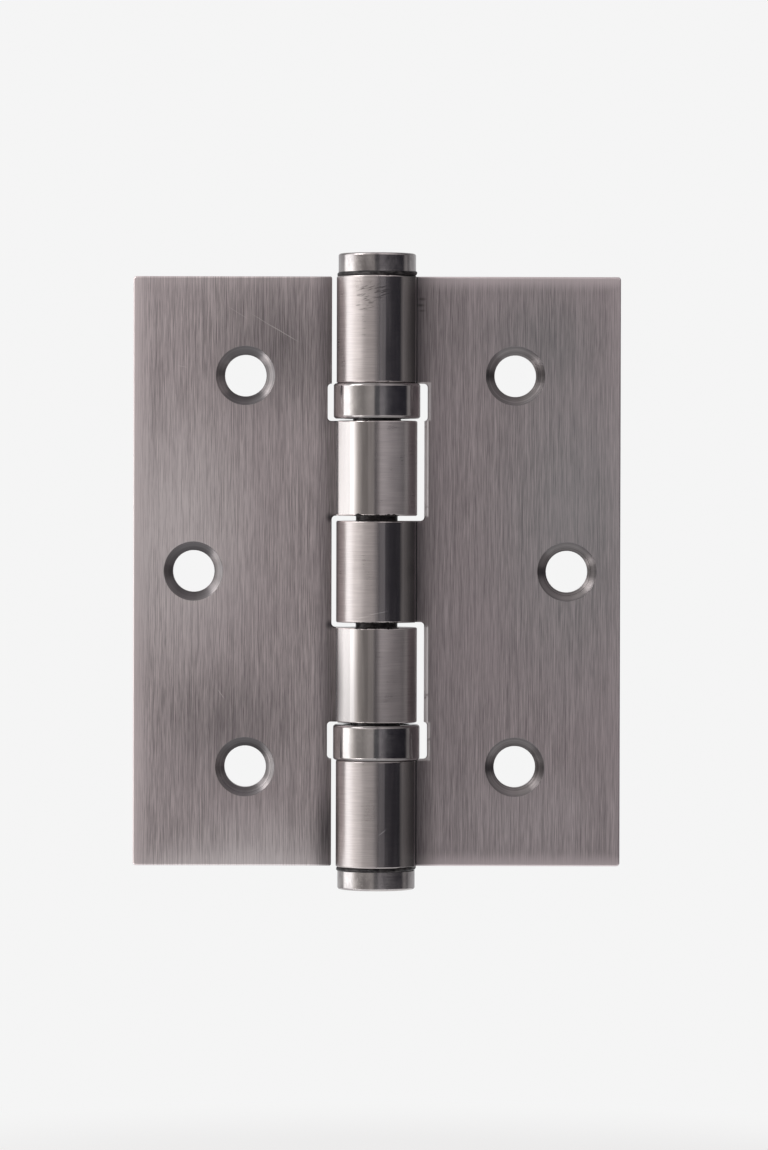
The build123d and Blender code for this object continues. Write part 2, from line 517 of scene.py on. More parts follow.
@dataclass(frozen=True)
class Shade:
    """A soft patch painted darker or lighter than the rest, in millimetres as x and z: mostly painted shade
    and painted light, with a few dark marks and tints.

    bright_from: The tone above which it counts as bright.
    bright_grain: How much more of it falls on light strokes than on dark ones, where it is bright.
    dark_grain: The same where it is dark.
    """

    centre: Spot
    size: Spot
    strength: float
    tone: Colour = (0.09, 0.086, 0.09)
    bright_from: float = 0.5
    bright_grain: float = 0.45
    dark_grain: float = -0.2

    def lay(self, graph: Graph, colour: Socket, front: Signal, grain: Signal | float) -> Socket:
        """Lay the patch over a colour, and keep its brushing.

        Args:
            graph: The material's graph.
            colour: The colour so far.
            front: 1 on the side that the patch lies on.
            grain: The brushing, from 0 on dark strokes to 1 on light ones.

        Returns:
            The colour with the patch on it.
        """
        x, _, z = graph.axes()
        patch = (ellipse(x, z, self.centre, self.size) ** 0.5).step(1.0, 0.0)
        grip = self.bright_grain if self.tone[0] > self.bright_from else self.dark_grain
        weight = self.strength * (1.0 + grip * (2.0 * grain - 1.0))
        return graph.blend(patch * weight * front, colour, self.tone)


def shaded(
    graph: Graph,
    colour: Socket,
    shades: tuple[Shade, ...],
    front: Signal,
    grain: Signal | float = NOISE_MIDDLE,
) -> Socket:
    """Lay patches of painted shade and painted light, with a few dark marks and tints, over a colour.

    Args:
        graph: The material's graph.
        colour: The colour so far.
        shades: The patches.
        front: 1 on the side that they lie on.
        grain: The brushing, from 0 on dark strokes to 1 on light ones.

    Returns:
        The colour with the patches on it.
    """
    for shade in shades:
        colour = shade.lay(graph, colour, front, grain)
    return colour


def scratched(
    graph: Graph,
    colour: Socket,
    lines: tuple[Scratch, ...],
    front: Signal,
    tone: Colour,
) -> Socket:
    """Lay fine light lines over a colour.

    Args:
        graph: The material's graph.
        colour: The colour so far.
        lines: The lines.
        front: 1 on the side that they lie on.
        tone: The bare metal in them.

    Returns:
        The colour with the lines on it.
    """
    for line in lines:
        colour = graph.blend(line.mask(graph) * front, colour, tone)
    return colour


@dataclass(frozen=True)
class Countersinks:
    """The turned countersinks of a leaf, with painted shade over all but their right wall, in millimetres.

    The painted shade on the walls and that towards the rim reach over shares of the radius, the first counted
    to the right of the hole's middle.
    """

    radius: float = 3.85
    edge: Span = (0.02, -0.06)
    rings: float = 7.0
    drift: float = 0.05
    detail: float = 2.0
    rough: float = 0.5
    ring_span: Span = (0.3, 0.7)
    dull: Colour = (0.36, 0.335, 0.34)
    bright: Colour = (0.54, 0.505, 0.505)
    brightness: float = 1.0
    # Painted shade over all but the right wall, and painted shade towards the rim.
    wall_shade: float = 0.75
    sink_shade_tone: Colour = (0.07, 0.068, 0.075)
    wall_shade_reach: Span = (1.0, 0.45)
    rim: float = 0.45
    rim_shade_reach: Span = (0.75, 0.97)
    roughness: float = 0.24
    swing: float = 0.1
    ring_depth: float = 0.006
    ease: float = 0.1

    def shader(self, graph: Graph, x: Signal, z: Signal, holes: tuple[Spot, ...]) -> tuple[Signal, Socket]:
        """Build their surface.

        Args:
            graph: The material's graph.
            x: Across the leaf.
            z: Along the leaf.
            holes: The holes' middles.

        Returns:
            Where the countersinks are, and their shader.
        """
        within: Signal | float = 0.0
        reach: Signal | float = 0.0
        rightward: Signal | float = 0.0
        for across, along in holes:
            off_x, off_z = x - across, z - along
            distance = (off_x * off_x + off_z * off_z) ** 0.5
            here = distance.edge(self.radius, self.edge)
            within, reach = here + within, here * distance + reach
            rightward = here * off_x + rightward
        sockets = {0: reach * self.rings, 1: x * self.drift, 2: z * self.drift}
        turning = graph.node("ShaderNodeCombineXYZ", {}, sockets).outputs[0]
        turned = graph.noise(turning, self.detail, self.rough)
        dull, bright = (scaled(tone, self.brightness) for tone in (self.dull, self.bright))
        colour = graph.blend(turned.step(*self.ring_span), dull, bright)
        # Painted shade over all but the right wall, and towards the rim.
        wall_shaded = (rightward / self.radius).step(*self.wall_shade_reach) * self.wall_shade
        rim = (reach / self.radius).step(*self.rim_shade_reach) * self.rim
        colour = graph.blend(wall_shaded.math("MAXIMUM", rim), colour, self.sink_shade_tone)
        roughness = self.roughness + self.swing * turned
        normal = graph.bump(turned, self.ring_depth, graph.bump(-reach, self.ease))
        return within, metal(graph, Base_Color=colour, Roughness=roughness, Normal=normal)


@dataclass(frozen=True)
class BrushedNickel:
    """Satin nickel on a leaf and its knuckles: brushed lengthways on the sheet and round the curl's far side.

    Places and depths are in millimetres, and strengths and shares run from 0 to 1. A field that ends in edge
    or border holds the two ends of a soft change, counted from the size that it is used with.
    """

    side: Side
    holes: tuple[Spot, ...] = ()
    sinks: Countersinks = Countersinks()
    light: Colour = (0.602, 0.543, 0.554)
    dark: Colour = (0.241, 0.214, 0.223)
    tint: Colour = (0.38, 0.335, 0.352)
    tinted: float = 0.3
    brightness: float = 1.0
    inner_shade: float = 0.0
    inner_shade_end: float = 6.0
    roughness: float = 0.42
    pull: float = 0.5
    pattern_seed: float = 7.0
    stroke_shares: Place = (0.38, 0.54, 0.08)
    stroke_span: float = 0.13
    stroke_swing: float = 0.16
    stroke_depth: float = 0.006
    bright_strokes: float = 0.5
    curl_radius: float = 5.23
    curl_edge: Span = (0.16, 0.03)
    far_side: Span = (-0.5, 0.6)
    face_y: float = 1.0
    back_y: float = 3.5
    front_edge: Span = (2.2, 1.7)
    cut_edge: Span = (0.06, 0.2)
    cut_strength: float = 0.8
    reach: float = 31.5
    half_height: float = 38.1
    # The sheet is made lighter along its outer edge and its ends.
    border_lift: float = 1.12
    outer_border: Span = (-2.6, 0.3)
    outer_lift: float = 0.9
    end_border: float = 2.2
    end_lift: float = 0.5
    # Painted shade on the sheet beside the barrel, darkest next to it.
    barrel_side_shade_start: float = 5.6
    barrel_side_shade_end: float = 8.6
    barrel_side_shade: float = 0.6
    barrel_side_shade_tone: Colour = (0.09, 0.085, 0.09)
    burr: float = 0.0
    burr_tone: Colour = (0.94, 0.92, 0.92)
    burr_edge: Span = (0.62, 0.42)
    ring_burr: float = 0.6
    ring_burr_edge: Span = (0.5, 0.3)
    notch_edge: float = 6.15
    ring_notch_edge: float = 6.56
    notch_start: Span = (6.9, 7.3)
    ring_start: Span = (19.3, 19.7)
    ring_end: Span = (24.3, 24.6)
    roll_start: float = 6.0
    roll_end: float = 8.4
    roll_depth: float = 0.2
    tip_light: Colour = (0.64, 0.60, 0.59)
    tip_dark: Colour = (0.52, 0.485, 0.48)
    tip_roughness: float = 0.13
    # Beside the leaf the curl takes a painted tone: painted shade where the tone is dark, a painted highlight
    # where it is light.
    tip_reach: Span = (2.7, 4.9)
    tip_painted_share: float = 0.85
    tip_painted_tone: Colour = (0.07, 0.068, 0.07)
    far_light: Colour = (0.65, 0.605, 0.597)
    far_dark: Colour = (0.53, 0.492, 0.488)
    far_roughness: float = 0.30
    far_pull: float = 0.6
    scratch_tone: Colour = (0.95, 0.91, 0.90)
    barrel_scratch_tone: Colour = (0.95, 0.92, 0.90)
    rub_tone: Colour = (0.10, 0.09, 0.09)
    light_lines: tuple[Scratch, ...] = ()
    scuffs: tuple[Scuff, ...] = ()
    shades: tuple[Shade, ...] = ()
    barrel_shades: tuple[Shade, ...] = ()

    def material(self) -> bpy.types.Material:
        """Build the finish.

        Returns:
            The material.
        """
        material, graph = new_material(f"brushed_nickel_{self.side.name.lower()}")
        x, y, z = graph.axes()
        curl = ((x * x + y * y) ** 0.5).edge(self.curl_radius, self.curl_edge)
        far = (x * -self.side.value).step(*self.far_side)
        front = y.edge(self.face_y, self.front_edge)
        within, sunk = self.sinks.shader(graph, x, z, self.holes)
        sheet = graph.join(within * front, self._sheet(graph, front), sunk)
        near_side = graph.join(curl * (1.0 - far), sheet, self._tip(graph))
        close_material(graph, graph.join(curl * far, near_side, self._far(graph)))
        return material

    def _sheet(self, graph: Graph, front: Signal) -> Socket:
        """Make the flat sheet with its cut edges, its burr and the eased edge towards the barrel.

        Args:
            graph: The material's graph.
            front: 1 on the countersunk side and 0 on the back.

        Returns:
            The shader.
        """
        x, y, z = graph.axes()
        outward = x * self.side.value
        colour, roughness, strokes = self._brushed(graph, outward, z, front)
        start, end = self.cut_edge
        cut = y.between((self.face_y + start, self.face_y + end), (self.back_y - end, self.back_y - start))
        sheared = graph.blend(SHEAR_MARKS.mask(graph.pattern(SHEAR_MARKS)), self.dark, self.tint)
        colour = graph.blend(cut * self.cut_strength, colour, sheared)
        burr = self._burr(graph, outward, z)
        return metal(
            graph,
            Base_Color=graph.blend(burr, colour, self.burr_tone),
            Roughness=roughness,
            Metallic=1.0 - burr,
            Anisotropic=self.pull,
            Normal=graph.bump(strokes, self.stroke_depth, self._rolled_edge(graph, outward)),
        )

    def _brushed(
        self, graph: Graph, outward: Signal, z: Signal, front: Signal
    ) -> tuple[Socket, Signal, Signal]:
        """Brush the sheet lengthways and lay its lighter border, its patches of painted shade and painted
        light, the painted shade beside the barrel and its scratches over the brushing.

        Args:
            graph: The material's graph.
            outward: Across the leaf, away from the pin.
            z: Along the leaf.
            front: 1 on the countersunk side and 0 on the back.

        Returns:
            Its colour, its roughness and the height of its strokes.
        """
        seed = self.pattern_seed * self.side.value
        patterns = (FINE_STROKES, HAIR_STROKES, BROAD_STROKES, SHEET_CLOUDS)
        fine, hair, broad, cloud = (graph.pattern(pattern, seed) for pattern in patterns)
        fine_share, hair_share, broad_share = self.stroke_shares
        strokes = fine * fine_share + hair * hair_share + broad * broad_share
        light, dark, tint = (scaled(tone, self.brightness) for tone in (self.light, self.dark, self.tint))
        grain = strokes.step(NOISE_MIDDLE - self.stroke_span, NOISE_MIDDLE + self.stroke_span)
        colour = graph.blend(grain, dark, light)
        colour = graph.blend(SHEET_CLOUDS.mask(cloud) * self.tinted, colour, tint)
        colour = graph.blend(outward.step(self.reach, self.inner_shade_end) * self.inner_shade, colour, dark)
        colour = graph.blend(FINE_STROKES.mask(fine) * self.bright_strokes, colour, light)
        colour = graph.blend(self._lighter_border(outward, z), colour, scaled(light, self.border_lift))
        colour = shaded(graph, colour, self.shades, front, grain)
        # Painted shade on the sheet beside the barrel.
        barrel_side_shaded = outward.step(self.barrel_side_shade_end, self.barrel_side_shade_start) * self.barrel_side_shade
        colour = graph.blend(barrel_side_shaded, colour, self.barrel_side_shade_tone)
        colour = scratched(graph, colour, self.light_lines, front, self.scratch_tone)
        roughness = self.roughness + self.stroke_swing * (NOISE_MIDDLE - strokes) + SHEET_CLOUDS.uneven(cloud)
        return colour, roughness, strokes

    def _lighter_border(self, outward: Signal, z: Signal) -> Signal:
        """Mask the rim of the sheet, which is made lighter.

        Args:
            outward: Across the leaf, away from the pin.
            z: Along the leaf.

        Returns:
            A mask.
        """
        outer = outward.edge(self.reach, self.outer_border) * self.outer_lift
        ends = abs(z).step(self.half_height - self.end_border, self.half_height) * self.end_lift
        return outer.math("MAXIMUM", ends)

    def _burr(self, graph: Graph, outward: Signal, z: Signal) -> Signal:
        """Mask the rough pale burr on the front edge of the notches.

        Args:
            graph: The material's graph.
            outward: Across the leaf, away from the pin.
            z: Along the leaf.

        Returns:
            A mask.
        """
        by_knuckle = outward.edge(self.notch_edge, self.burr_edge)
        by_knuckle = by_knuckle * abs(z).between(self.notch_start, self.ring_start)
        by_ring = outward.edge(self.ring_notch_edge, self.ring_burr_edge)
        by_ring = by_ring * abs(z).between(self.ring_start, self.ring_end) * self.ring_burr
        return (by_knuckle + by_ring) * BURR_GAPS.mask(graph.pattern(BURR_GAPS)) * self.burr

    def _rolled_edge(self, graph: Graph, outward: Signal) -> Socket:
        """Let the face fall away towards the barrel, as blanking leaves it.

        Args:
            graph: The material's graph.
            outward: Across the leaf, away from the pin.

        Returns:
            The normal.
        """
        near = ((self.roll_end - outward) / (self.roll_end - self.roll_start)).math("MAXIMUM", 0.0)
        return graph.bump(-(near * near), self.roll_depth)

    def _shaded_and_rubbed(self, graph: Graph, colour: Socket) -> Socket:
        """Lay the patches of painted shade and painted light, the scuffs and the fine light scratches over
        the curl.

        Args:
            graph: The material's graph.
            colour: The colour so far.

        Returns:
            The colour with the painted shade, painted light and wear on it.
        """
        x, y, z = graph.axes()
        front = y.step(*BARREL_FRONT)
        # Patches of painted shade and painted light.
        colour = shaded(graph, colour, self.barrel_shades, front)
        for scuff in self.scuffs:
            colour = graph.blend(scuff.mask(graph, x, z) * front, colour, self.rub_tone)
        return scratched(graph, colour, self.light_lines, front, self.barrel_scratch_tone)

    def _tip(self, graph: Graph) -> Socket:
        """Make the smoother side of the curl, with a tone painted beside the leaf: painted shade on the frame
        leaf's curl and a painted highlight on the door leaf's.

        Args:
            graph: The material's graph.

        Returns:
            The shader.
        """
        x, _, _ = graph.axes()
        smear, grain = graph.pattern(TIP_SMEAR), graph.pattern(TIP_GRAIN)
        colour = graph.blend(TIP_SMEAR.mask(smear), self.tip_dark, self.tip_light)
        # A tone painted beside the leaf: painted shade on the frame leaf's curl, a painted highlight on the
        # door leaf's.
        beside_leaf = (x * self.side.value).step(*self.tip_reach)
        colour = self._shaded_and_rubbed(graph, graph.blend(beside_leaf * self.tip_painted_share, colour, self.tip_painted_tone))
        roughness = self.tip_roughness + TIP_SMEAR.uneven(smear) + TIP_GRAIN.uneven(grain)
        return metal(graph, Base_Color=colour, Roughness=roughness, Normal=graph.bump(grain, TIP_GRAIN.depth))

    def _far(self, graph: Graph) -> Socket:
        """Make the rougher side of the curl, stretched by the rolling and brushed round it.

        Args:
            graph: The material's graph.

        Returns:
            The shader.
        """
        strokes, cloud = graph.pattern(CURL_STROKES), graph.pattern(CURL_CLOUDS)
        colour = graph.blend(CURL_STROKES.mask(strokes), self.far_dark, self.far_light)
        return metal(
            graph,
            Base_Color=self._shaded_and_rubbed(graph, colour),
            Roughness=self.far_roughness + CURL_STROKES.uneven(strokes) + CURL_CLOUDS.uneven(cloud),
            Anisotropic=self.far_pull,
            Anisotropic_Rotation=QUARTER_TURN,
            Normal=graph.bump(strokes, CURL_STROKES.depth),
        )


@dataclass(frozen=True)
class TurnedNickel:
    """A turned and polished part with faint tool rings, painted shade beside its rims and patches of painted
    light and shade, in millimetres.
    """

    name: str
    light: Colour = (0.66, 0.63, 0.62)
    dark: Colour = (0.55, 0.52, 0.518)
    rims: tuple[float, ...] = ()
    shades: tuple[Shade, ...] = ()
    # Painted shade beside the rims.
    rim_edge: Span = (0.42, 0.252)
    rim_shade_strength: float = 0.7
    rim_shade_tone: Colour = (0.10, 0.096, 0.10)
    roughness: float = 0.12
    pull: float = 0.35
    ring_depth: float = 0.003

    def material(self) -> bpy.types.Material:
        """Build the finish.

        Returns:
            The material.
        """
        material, graph = new_material(self.name)
        _, y, z = graph.axes()
        rings, smear = graph.pattern(TOOL_RINGS), graph.pattern(TURNED_SMEAR)
        colour = graph.blend(TURNED_SMEAR.mask(smear), self.dark, self.light)
        # Patches of painted light and painted shade, then painted shade beside the rims.
        colour = shaded(graph, colour, self.shades, y.step(*BARREL_FRONT))
        for rim in self.rims:
            near = abs(abs(z) - rim).step(*self.rim_edge)
            colour = graph.blend(near * self.rim_shade_strength, colour, self.rim_shade_tone)
        shader = metal(
            graph,
            Base_Color=colour,
            Roughness=self.roughness + TURNED_SMEAR.uneven(smear) + TOOL_RINGS.uneven(rings),
            Anisotropic=self.pull,
            Anisotropic_Rotation=QUARTER_TURN,
            Normal=graph.bump(rings, self.ring_depth),
        )
        close_material(graph, shader)
        return material


@dataclass(frozen=True)
class BearingMetal:
    """Hardened steel of the races and balls, or pressed brass of the cages, under an oily film."""

    name: str
    light: Colour = (0.62, 0.62, 0.63)
    dark: Colour = (0.50, 0.50, 0.52)
    roughness: float = 0.1
    film: Pattern = OIL_FILM
    metallic: float = 1.0

    def material(self) -> bpy.types.Material:
        """Build the finish.

        Returns:
            The material.
        """
        material, graph = new_material(self.name)
        film = graph.pattern(self.film)
        shader = metal(
            graph,
            Base_Color=graph.blend(self.film.mask(film), self.dark, self.light),
            Roughness=self.roughness + self.film.uneven(film),
            Metallic=self.metallic,
            Normal=graph.bump(film, self.film.depth),
        )
        close_material(graph, shader)
        return material


@dataclass(frozen=True)
class DarkSteel(BearingMetal):
    """Dark greasy steel: the pin, the washers and the torn edges; on the torn edges its darkness also stands
    in for the shade in the gaps between knuckles.
    """

    light: Colour = (0.10, 0.095, 0.095)
    dark: Colour = (0.03, 0.028, 0.03)
    roughness: float = 0.42
    film: Pattern = GREASE
    metallic: float = 0.9


def dress(node: str, material: bpy.types.Material) -> None:
    """Give a carried-over piece its finish.

    Args:
        node: The piece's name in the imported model.
        material: The finish.
    """
    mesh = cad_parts[node].data
    mesh.materials.clear()
    mesh.materials.append(material)
    LOG.info("dressed %s with %s", node, material.name)


def finish_piece(
    name: str, shape: bmesh.types.BMesh, material: bpy.types.Material, body: str
) -> bpy.types.Object:
    """Turn a bmesh into a piece that rides on a body.

    Args:
        name: The piece's name.
        shape: Its mesh, in metres, in place.
        material: Its finish.
        body: The body it moves with.

    Returns:
        The object.
    """
    bmesh.ops.remove_doubles(shape, verts=shape.verts, dist=WELD_DISTANCE)
    bmesh.ops.recalc_face_normals(shape, faces=shape.faces)
    mesh = bpy.data.meshes.new(name)
    shape.to_mesh(mesh)
    shape.free()
    for polygon in mesh.polygons:
        polygon.use_smooth = True
    mesh.set_sharp_from_angle(angle=math.radians(SHARP_ANGLE))
    mesh.materials.append(material)
    piece = bpy.data.objects.new(name, mesh)
    bpy.context.scene.collection.objects.link(piece)
    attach(piece, body)
    LOG.info("made %s: %d faces", name, len(mesh.polygons))
    return piece


def spin_round_pin(
    shape: bmesh.types.BMesh, outline: list[Any], angle: float, steps: int, **options: bool
) -> None:
    """Spin an outline about the pin.

    Args:
        shape: The mesh it belongs to.
        outline: Its corners, edges and faces.
        angle: How far it goes, in radians.
        steps: In how many steps.
        options: What else the spin is told.
    """
    centre, axis = (0.0, 0.0, 0.0), (0.0, 0.0, 1.0)
    bmesh.ops.spin(shape, geom=outline, cent=centre, axis=axis, angle=angle, steps=steps, **options)


@dataclass
class Leaf:
    """One leaf with its knuckles, and the places of its screw holes, in millimetres."""

    node: str
    finish: BrushedNickel
    end_reach: float
    middle_reach: float
    hole_pitch: float = 25.3

    def holes(self) -> tuple[Spot, ...]:
        """Give the screw holes' middles as x and z.

        Returns:
            Three pairs in millimetres.
        """
        end, middle = (self.finish.side.value * reach for reach in (self.end_reach, self.middle_reach))
        return (end, self.hole_pitch), (middle, 0.0), (end, -self.hole_pitch)

    def build(self) -> None:
        """Dress the leaf."""
        finish = replace(self.finish, holes=self.holes())
        dress(self.node, finish.material())


@dataclass
class TornEdge:
    """The ragged dark lip that shearing left on the front of a knuckle's end, whose darkness also stands in
    for the shade in the gap there, in millimetres and degrees.

    end: The level of the knuckle's end.
    into: 1 where the knuckle lies above its end and -1 where it lies below.
    seed: Where its noise is read.
    height: How far it runs over the knuckle at most.
    grain: How wide its middle-sized teeth are.
    teeth: How coarse its three noises are, the middle one being 1.
    shares: How strong they are.
    mean: The share of the height about which they swing.
    """

    name: str
    body: str
    end: float
    into: float
    seed: float
    radius: float = 5.23
    half_angle: float = 34.0
    sunk: float = 0.12
    proud: float = 0.03
    overhang: float = 0.07
    height: float = 0.2
    grain: float = 0.6
    teeth: Place = (0.3, 1.0, 3.0)
    shares: Place = (1.0, 0.5, 0.45)
    mean: float = 0.45
    least: float = 0.04
    least_at_ends: float = 0.02
    fade_rate: float = 5.0
    steps: int = 150

    def build(self, material: bpy.types.Material) -> None:
        """Make the lip.

        Args:
            material: Its finish.
        """
        shape = bmesh.new()
        inner, outer = self.radius - self.sunk, self.radius + self.proud
        low, high = -self.overhang, self.height
        corners = ((inner, low), (outer, low), (outer, high), (inner, high))
        start = math.radians(-90.0 - self.half_angle)
        ring = [
            shape.verts.new((reach * MM * math.cos(start), reach * MM * math.sin(start), rise * MM))
            for reach, rise in corners
        ]
        face = shape.faces.new(ring)
        outline = [face, *face.edges, *face.verts]
        spin_round_pin(shape, outline, math.radians(2.0 * self.half_angle), self.steps)
        for vert in shape.verts:
            share = self._share(math.degrees(math.atan2(vert.co.x, -vert.co.y)))
            vert.co.z = (self.end + self.into * vert.co.z / MM * share) * MM
        finish_piece(self.name, shape, material, self.body)

    def _share(self, angle: float) -> float:
        """Give the share of its full height that the lip has left.

        Args:
            angle: Where on the knuckle, in degrees from its front.

        Returns:
            The share.
        """
        arc = math.radians(angle) * self.radius / self.grain
        coarse, middle, fine = (stretch * arc for stretch in self.teeth)
        places = (coarse, 2.0, self.seed), (middle, self.seed, 0.0), (fine, 0.0, self.seed)
        rag = self.mean + sum(share * noise.noise(Vector(place)) for share, place in zip(self.shares, places))
        fade = min(1.0, (1.0 - abs(angle) / self.half_angle) * self.fade_rate)
        return max(self.least, rag) * max(self.least_at_ends, fade)


@dataclass
class WavyWasher:
    """A dark spring washer that is flat under the cap and wavy towards its rim, in millimetres.

    wave: How far the rim ripples.
    ripples: The rim's two ripples: how many waves, their start and their share of the wave.
    lift: How far the rim is turned up at one place.
    lift_turn: How far before +X that place lies, in radians.
    lift_narrowness: How narrow it is.
    """

    node: str
    level: float
    wave: float = 0.045
    ripples: tuple[Place, ...] = ((3.0, 0.6, 1.0), (7.0, 1.9, 0.6))
    lift: float = 0.2
    lift_turn: float = 0.35
    lift_narrowness: int = 6
    bore: float = 3.2
    seat: float = 4.7
    rings: Spot = (4.6, 4.85)
    rim: float = 5.15
    round_off: float = 0.14
    rim_share: float = 0.4
    thickness: float = 0.5
    steps: int = 180

    def build(self, material: bpy.types.Material) -> None:
        """Make the washer in place of the flat one.

        Args:
            material: Its finish.
        """
        shape = bmesh.new()
        half = 0.5 * self.thickness
        lower = [(reach, -half) for reach in (self.bore, *self.rings, self.rim - self.round_off)]
        lower.append((self.rim, -self.rim_share * half))
        profile = lower + [(reach, -rise) for reach, rise in reversed(lower)]
        verts = [shape.verts.new((reach * MM, 0.0, rise * MM)) for reach, rise in profile]
        edges = [shape.edges.new(pair) for pair in zip(verts, verts[1:] + verts[:1])]
        spin_round_pin(shape, [*verts, *edges], 2.0 * math.pi, self.steps, use_merge=True)
        for vert in shape.verts:
            reach = math.hypot(vert.co.x, vert.co.y) / MM
            free = max(0.0, (reach - self.seat) / (self.rim - self.seat))
            vert.co.z += (self.level + free * self._rise(math.atan2(vert.co.y, vert.co.x))) * MM
        washer = finish_piece(f"{self.node}_wavy", shape, material, "frame_side")
        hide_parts(self.node)

    def _rise(self, angle: float) -> float:
        """Give how far the rim stands above its level.

        Args:
            angle: Where on the rim, in radians from +X.

        Returns:
            The height in millimetres.
        """
        ripple = sum(share * math.sin(count * angle + start) for count, start, share in self.ripples)
        turned_up = max(0.0, math.cos(angle + self.lift_turn)) ** self.lift_narrowness
        return self.wave * ripple + self.lift * turned_up


@dataclass
class Bearings:
    """The two thrust bearings: shells, races, cages and balls."""

    ball_count: int = 12
    shell: TurnedNickel = TurnedNickel(
        "turned_nickel",
        rims=(19.722, 24.3),
        # Painted highlights on the left of both shells and painted shade on the right of the lower one.
        shades=(
            Shade((-1.2, 22.0), (2.8, 6.0), 0.5, (0.97, 0.93, 0.92)),
            Shade((-1.2, -22.0), (2.8, 6.0), 0.5, (0.97, 0.93, 0.92)),
            Shade((3.4, -22.0), (3.6, 7.0), 0.38),
        ),
    )
    race: BearingMetal = BearingMetal("bearing_steel")
    # The race's neck, seen in the slit, is dark oily steel whose darkness also stands in for the shade inside
    # the slit.
    neck: BearingMetal = BearingMetal("oiled_and_shaded_race_steel", (0.17, 0.165, 0.17), (0.07, 0.068, 0.072), 0.38)
    cage: BearingMetal = BearingMetal("pressed_brass", (0.72, 0.53, 0.26), (0.55, 0.39, 0.18), 0.24)

    def build(self) -> None:
        """Dress every piece of both bearings."""
        finishes = (self.shell, self.race, self.neck, self.cage)
        shell, race, neck, cage = (finish.material() for finish in finishes)
        for place in ("upper", "lower"):
            dress(f"{place}_bearing_shell", shell)
            dress(f"{place}_fixed_race", race)
            dress(f"{place}_moving_race", neck)
            dress(f"{place}_ball_cage", cage)
            for number in range(1, self.ball_count + 1):
                dress(f"{place}_ball_{number:02d}", race)


@dataclass
class PinSet:
    """The pin with its caps and washers, in millimetres."""

    washer_level: float = 38.35
    pin: DarkSteel = DarkSteel("dark_pin_steel")
    cap: TurnedNickel = TurnedNickel(
        "turned_cap", (0.60, 0.57, 0.565), (0.47, 0.44, 0.442), roughness=0.17, ring_depth=0.004
    )
    washer: DarkSteel = DarkSteel("oiled_washer", (0.09, 0.085, 0.085), (0.02, 0.019, 0.021), 0.4)

    def build(self) -> None:
        """Dress the pin, the caps and the washers."""
        pin, cap, washer = (finish.material() for finish in (self.pin, self.cap, self.washer))
        dress("hinge_pin", pin)
        for end, level in (("top", self.washer_level), ("bottom", -self.washer_level)):
            dress(f"{end}_cap", cap)
            dress(f"{end}_cap_washer", washer)
            WavyWasher(f"{end}_cap_washer", level).build(washer)


@dataclass(frozen=True)
class Softbox:
    """A rectangular lamp that faces the hinge, in millimetres and watts."""

    name: str
    place: Place
    size: Spot = (180.0, 160.0)
    power: float = 0.35
    colour: Colour = (1.0, 0.965, 0.95)

    def build(self) -> None:
        """Add the lamp."""
        data = bpy.data.lights.new(self.name, "AREA")
        data.shape = "RECTANGLE"
        data.size, data.size_y = (MM * length for length in self.size)
        data.energy = self.power
        data.color = self.colour
        lamp = bpy.data.objects.new(self.name, data)
        bpy.context.scene.collection.objects.link(lamp)
        spot = Vector(self.place) * MM
        lamp.matrix_world = Matrix.Translation(spot) @ (-spot).to_track_quat("-Z", "Y").to_matrix().to_4x4()


